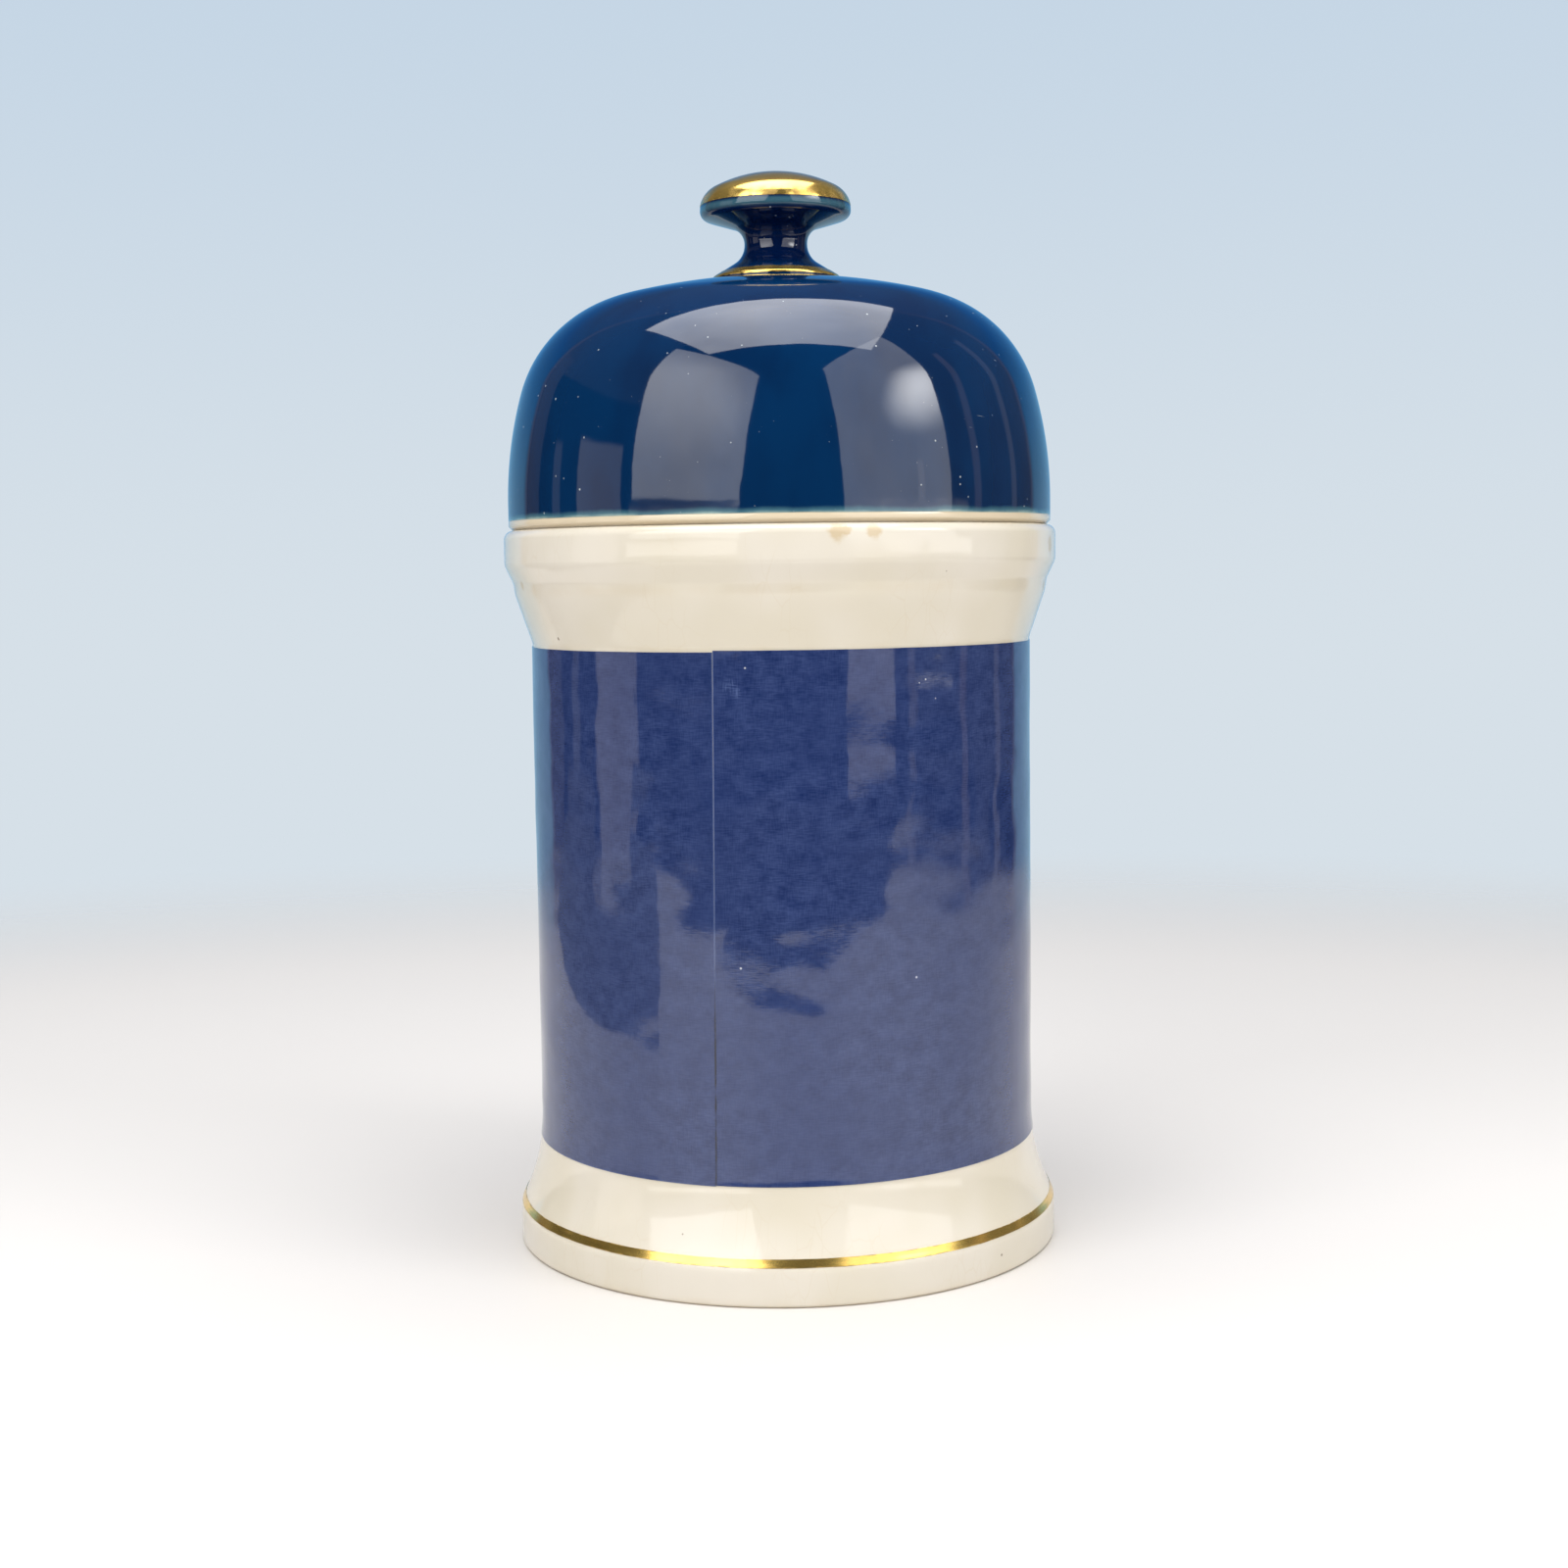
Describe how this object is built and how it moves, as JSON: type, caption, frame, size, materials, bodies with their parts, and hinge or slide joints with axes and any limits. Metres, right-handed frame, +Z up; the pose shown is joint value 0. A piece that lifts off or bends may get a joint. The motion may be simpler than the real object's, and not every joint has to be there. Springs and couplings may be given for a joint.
{
  "type": "apothecary jar",
  "caption": "Upright ceramic apothecary jar with a flared foot, stepped collar, printed wrap and a lift-off domed lid with a gilt mushroom knob.",
  "frame": {"origin": "centre of the plane that the foot ring stands on", "axes": "+Z up along the jar's axis of revolution; the printed wrap's seam faces about 14 degrees left of -Y, the front"},
  "size_m": [0.1104, 0.1104, 0.2134],
  "materials": {
    "cream_glaze": "clear gloss glaze over cream earthenware",
    "blue_print": "printed transfer under a soft gloss",
    "blue_glaze": "dark blue gloss glaze",
    "gilding": "burnished bright gold"
  },
  "bodies": {
    "jar": {"jar_body": "cream_glaze", "wrap_transfer": "blue_print", "foot_gilt_line": "gilding"},
    "lid": {"lid_shell": "cream_glaze", "lid_glaze": "blue_glaze", "lid_knob": "blue_glaze", "knob_gilt_cap": "gilding", "knob_gilt_line": "gilding"}
  },
  "joints": [
    {"name": "lid_lift", "type": "slide", "parent": "jar", "child": "lid", "axis": [0, 0, 1], "range_m": [0, 0.08]}
  ]
}
